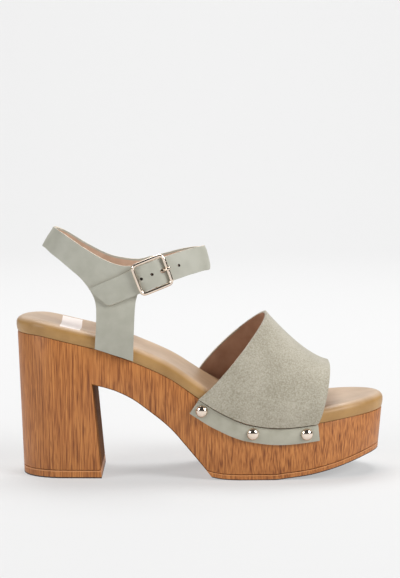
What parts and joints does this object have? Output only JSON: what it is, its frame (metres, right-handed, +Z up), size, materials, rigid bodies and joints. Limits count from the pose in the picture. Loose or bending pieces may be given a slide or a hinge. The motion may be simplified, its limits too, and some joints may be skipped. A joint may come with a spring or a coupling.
{
  "type": "block heel sandal",
  "caption": "Open toe block heel platform sandal with a wood-look unit sole, padded footbed, wide studded toe strap and a buckled ankle strap with two side tabs.",
  "frame": {"origin": "on the floor under the heel and forefoot, in the middle of the sandal's box", "axes": "+X from heel to toe, +Y to the inner side of the foot, +Z up"},
  "size_m": [0.2402, 0.0953, 0.1601],
  "materials": {
    "wood_look": "printed vertical wood grain, satin",
    "outsole_rubber": "matt",
    "tan_footbed": "smooth, semi-gloss",
    "sage_suede": "short suede nap",
    "sage_leather": "smooth, satin",
    "rose_gold": "polished, pale rose gold"
  },
  "bodies": {
    "root": {"platform_and_heel": "wood_look", "heel_top_lift": "outsole_rubber", "forefoot_outsole": "outsole_rubber", "footbed": "tan_footbed", "toe_strap": "sage_suede", "side_band_outer": "sage_leather", "side_band_inner": "sage_leather", "stud_outer_1": "rose_gold", "stud_outer_2": "rose_gold", "stud_outer_3": "rose_gold", "stud_inner_1": "rose_gold", "stud_inner_2": "rose_gold", "stud_inner_3": "rose_gold", "ankle_strap": "sage_leather", "buckle_frame": "rose_gold", "buckle_prong": "rose_gold", "buckle_loop": "sage_leather"}
  },
  "joints": []
}
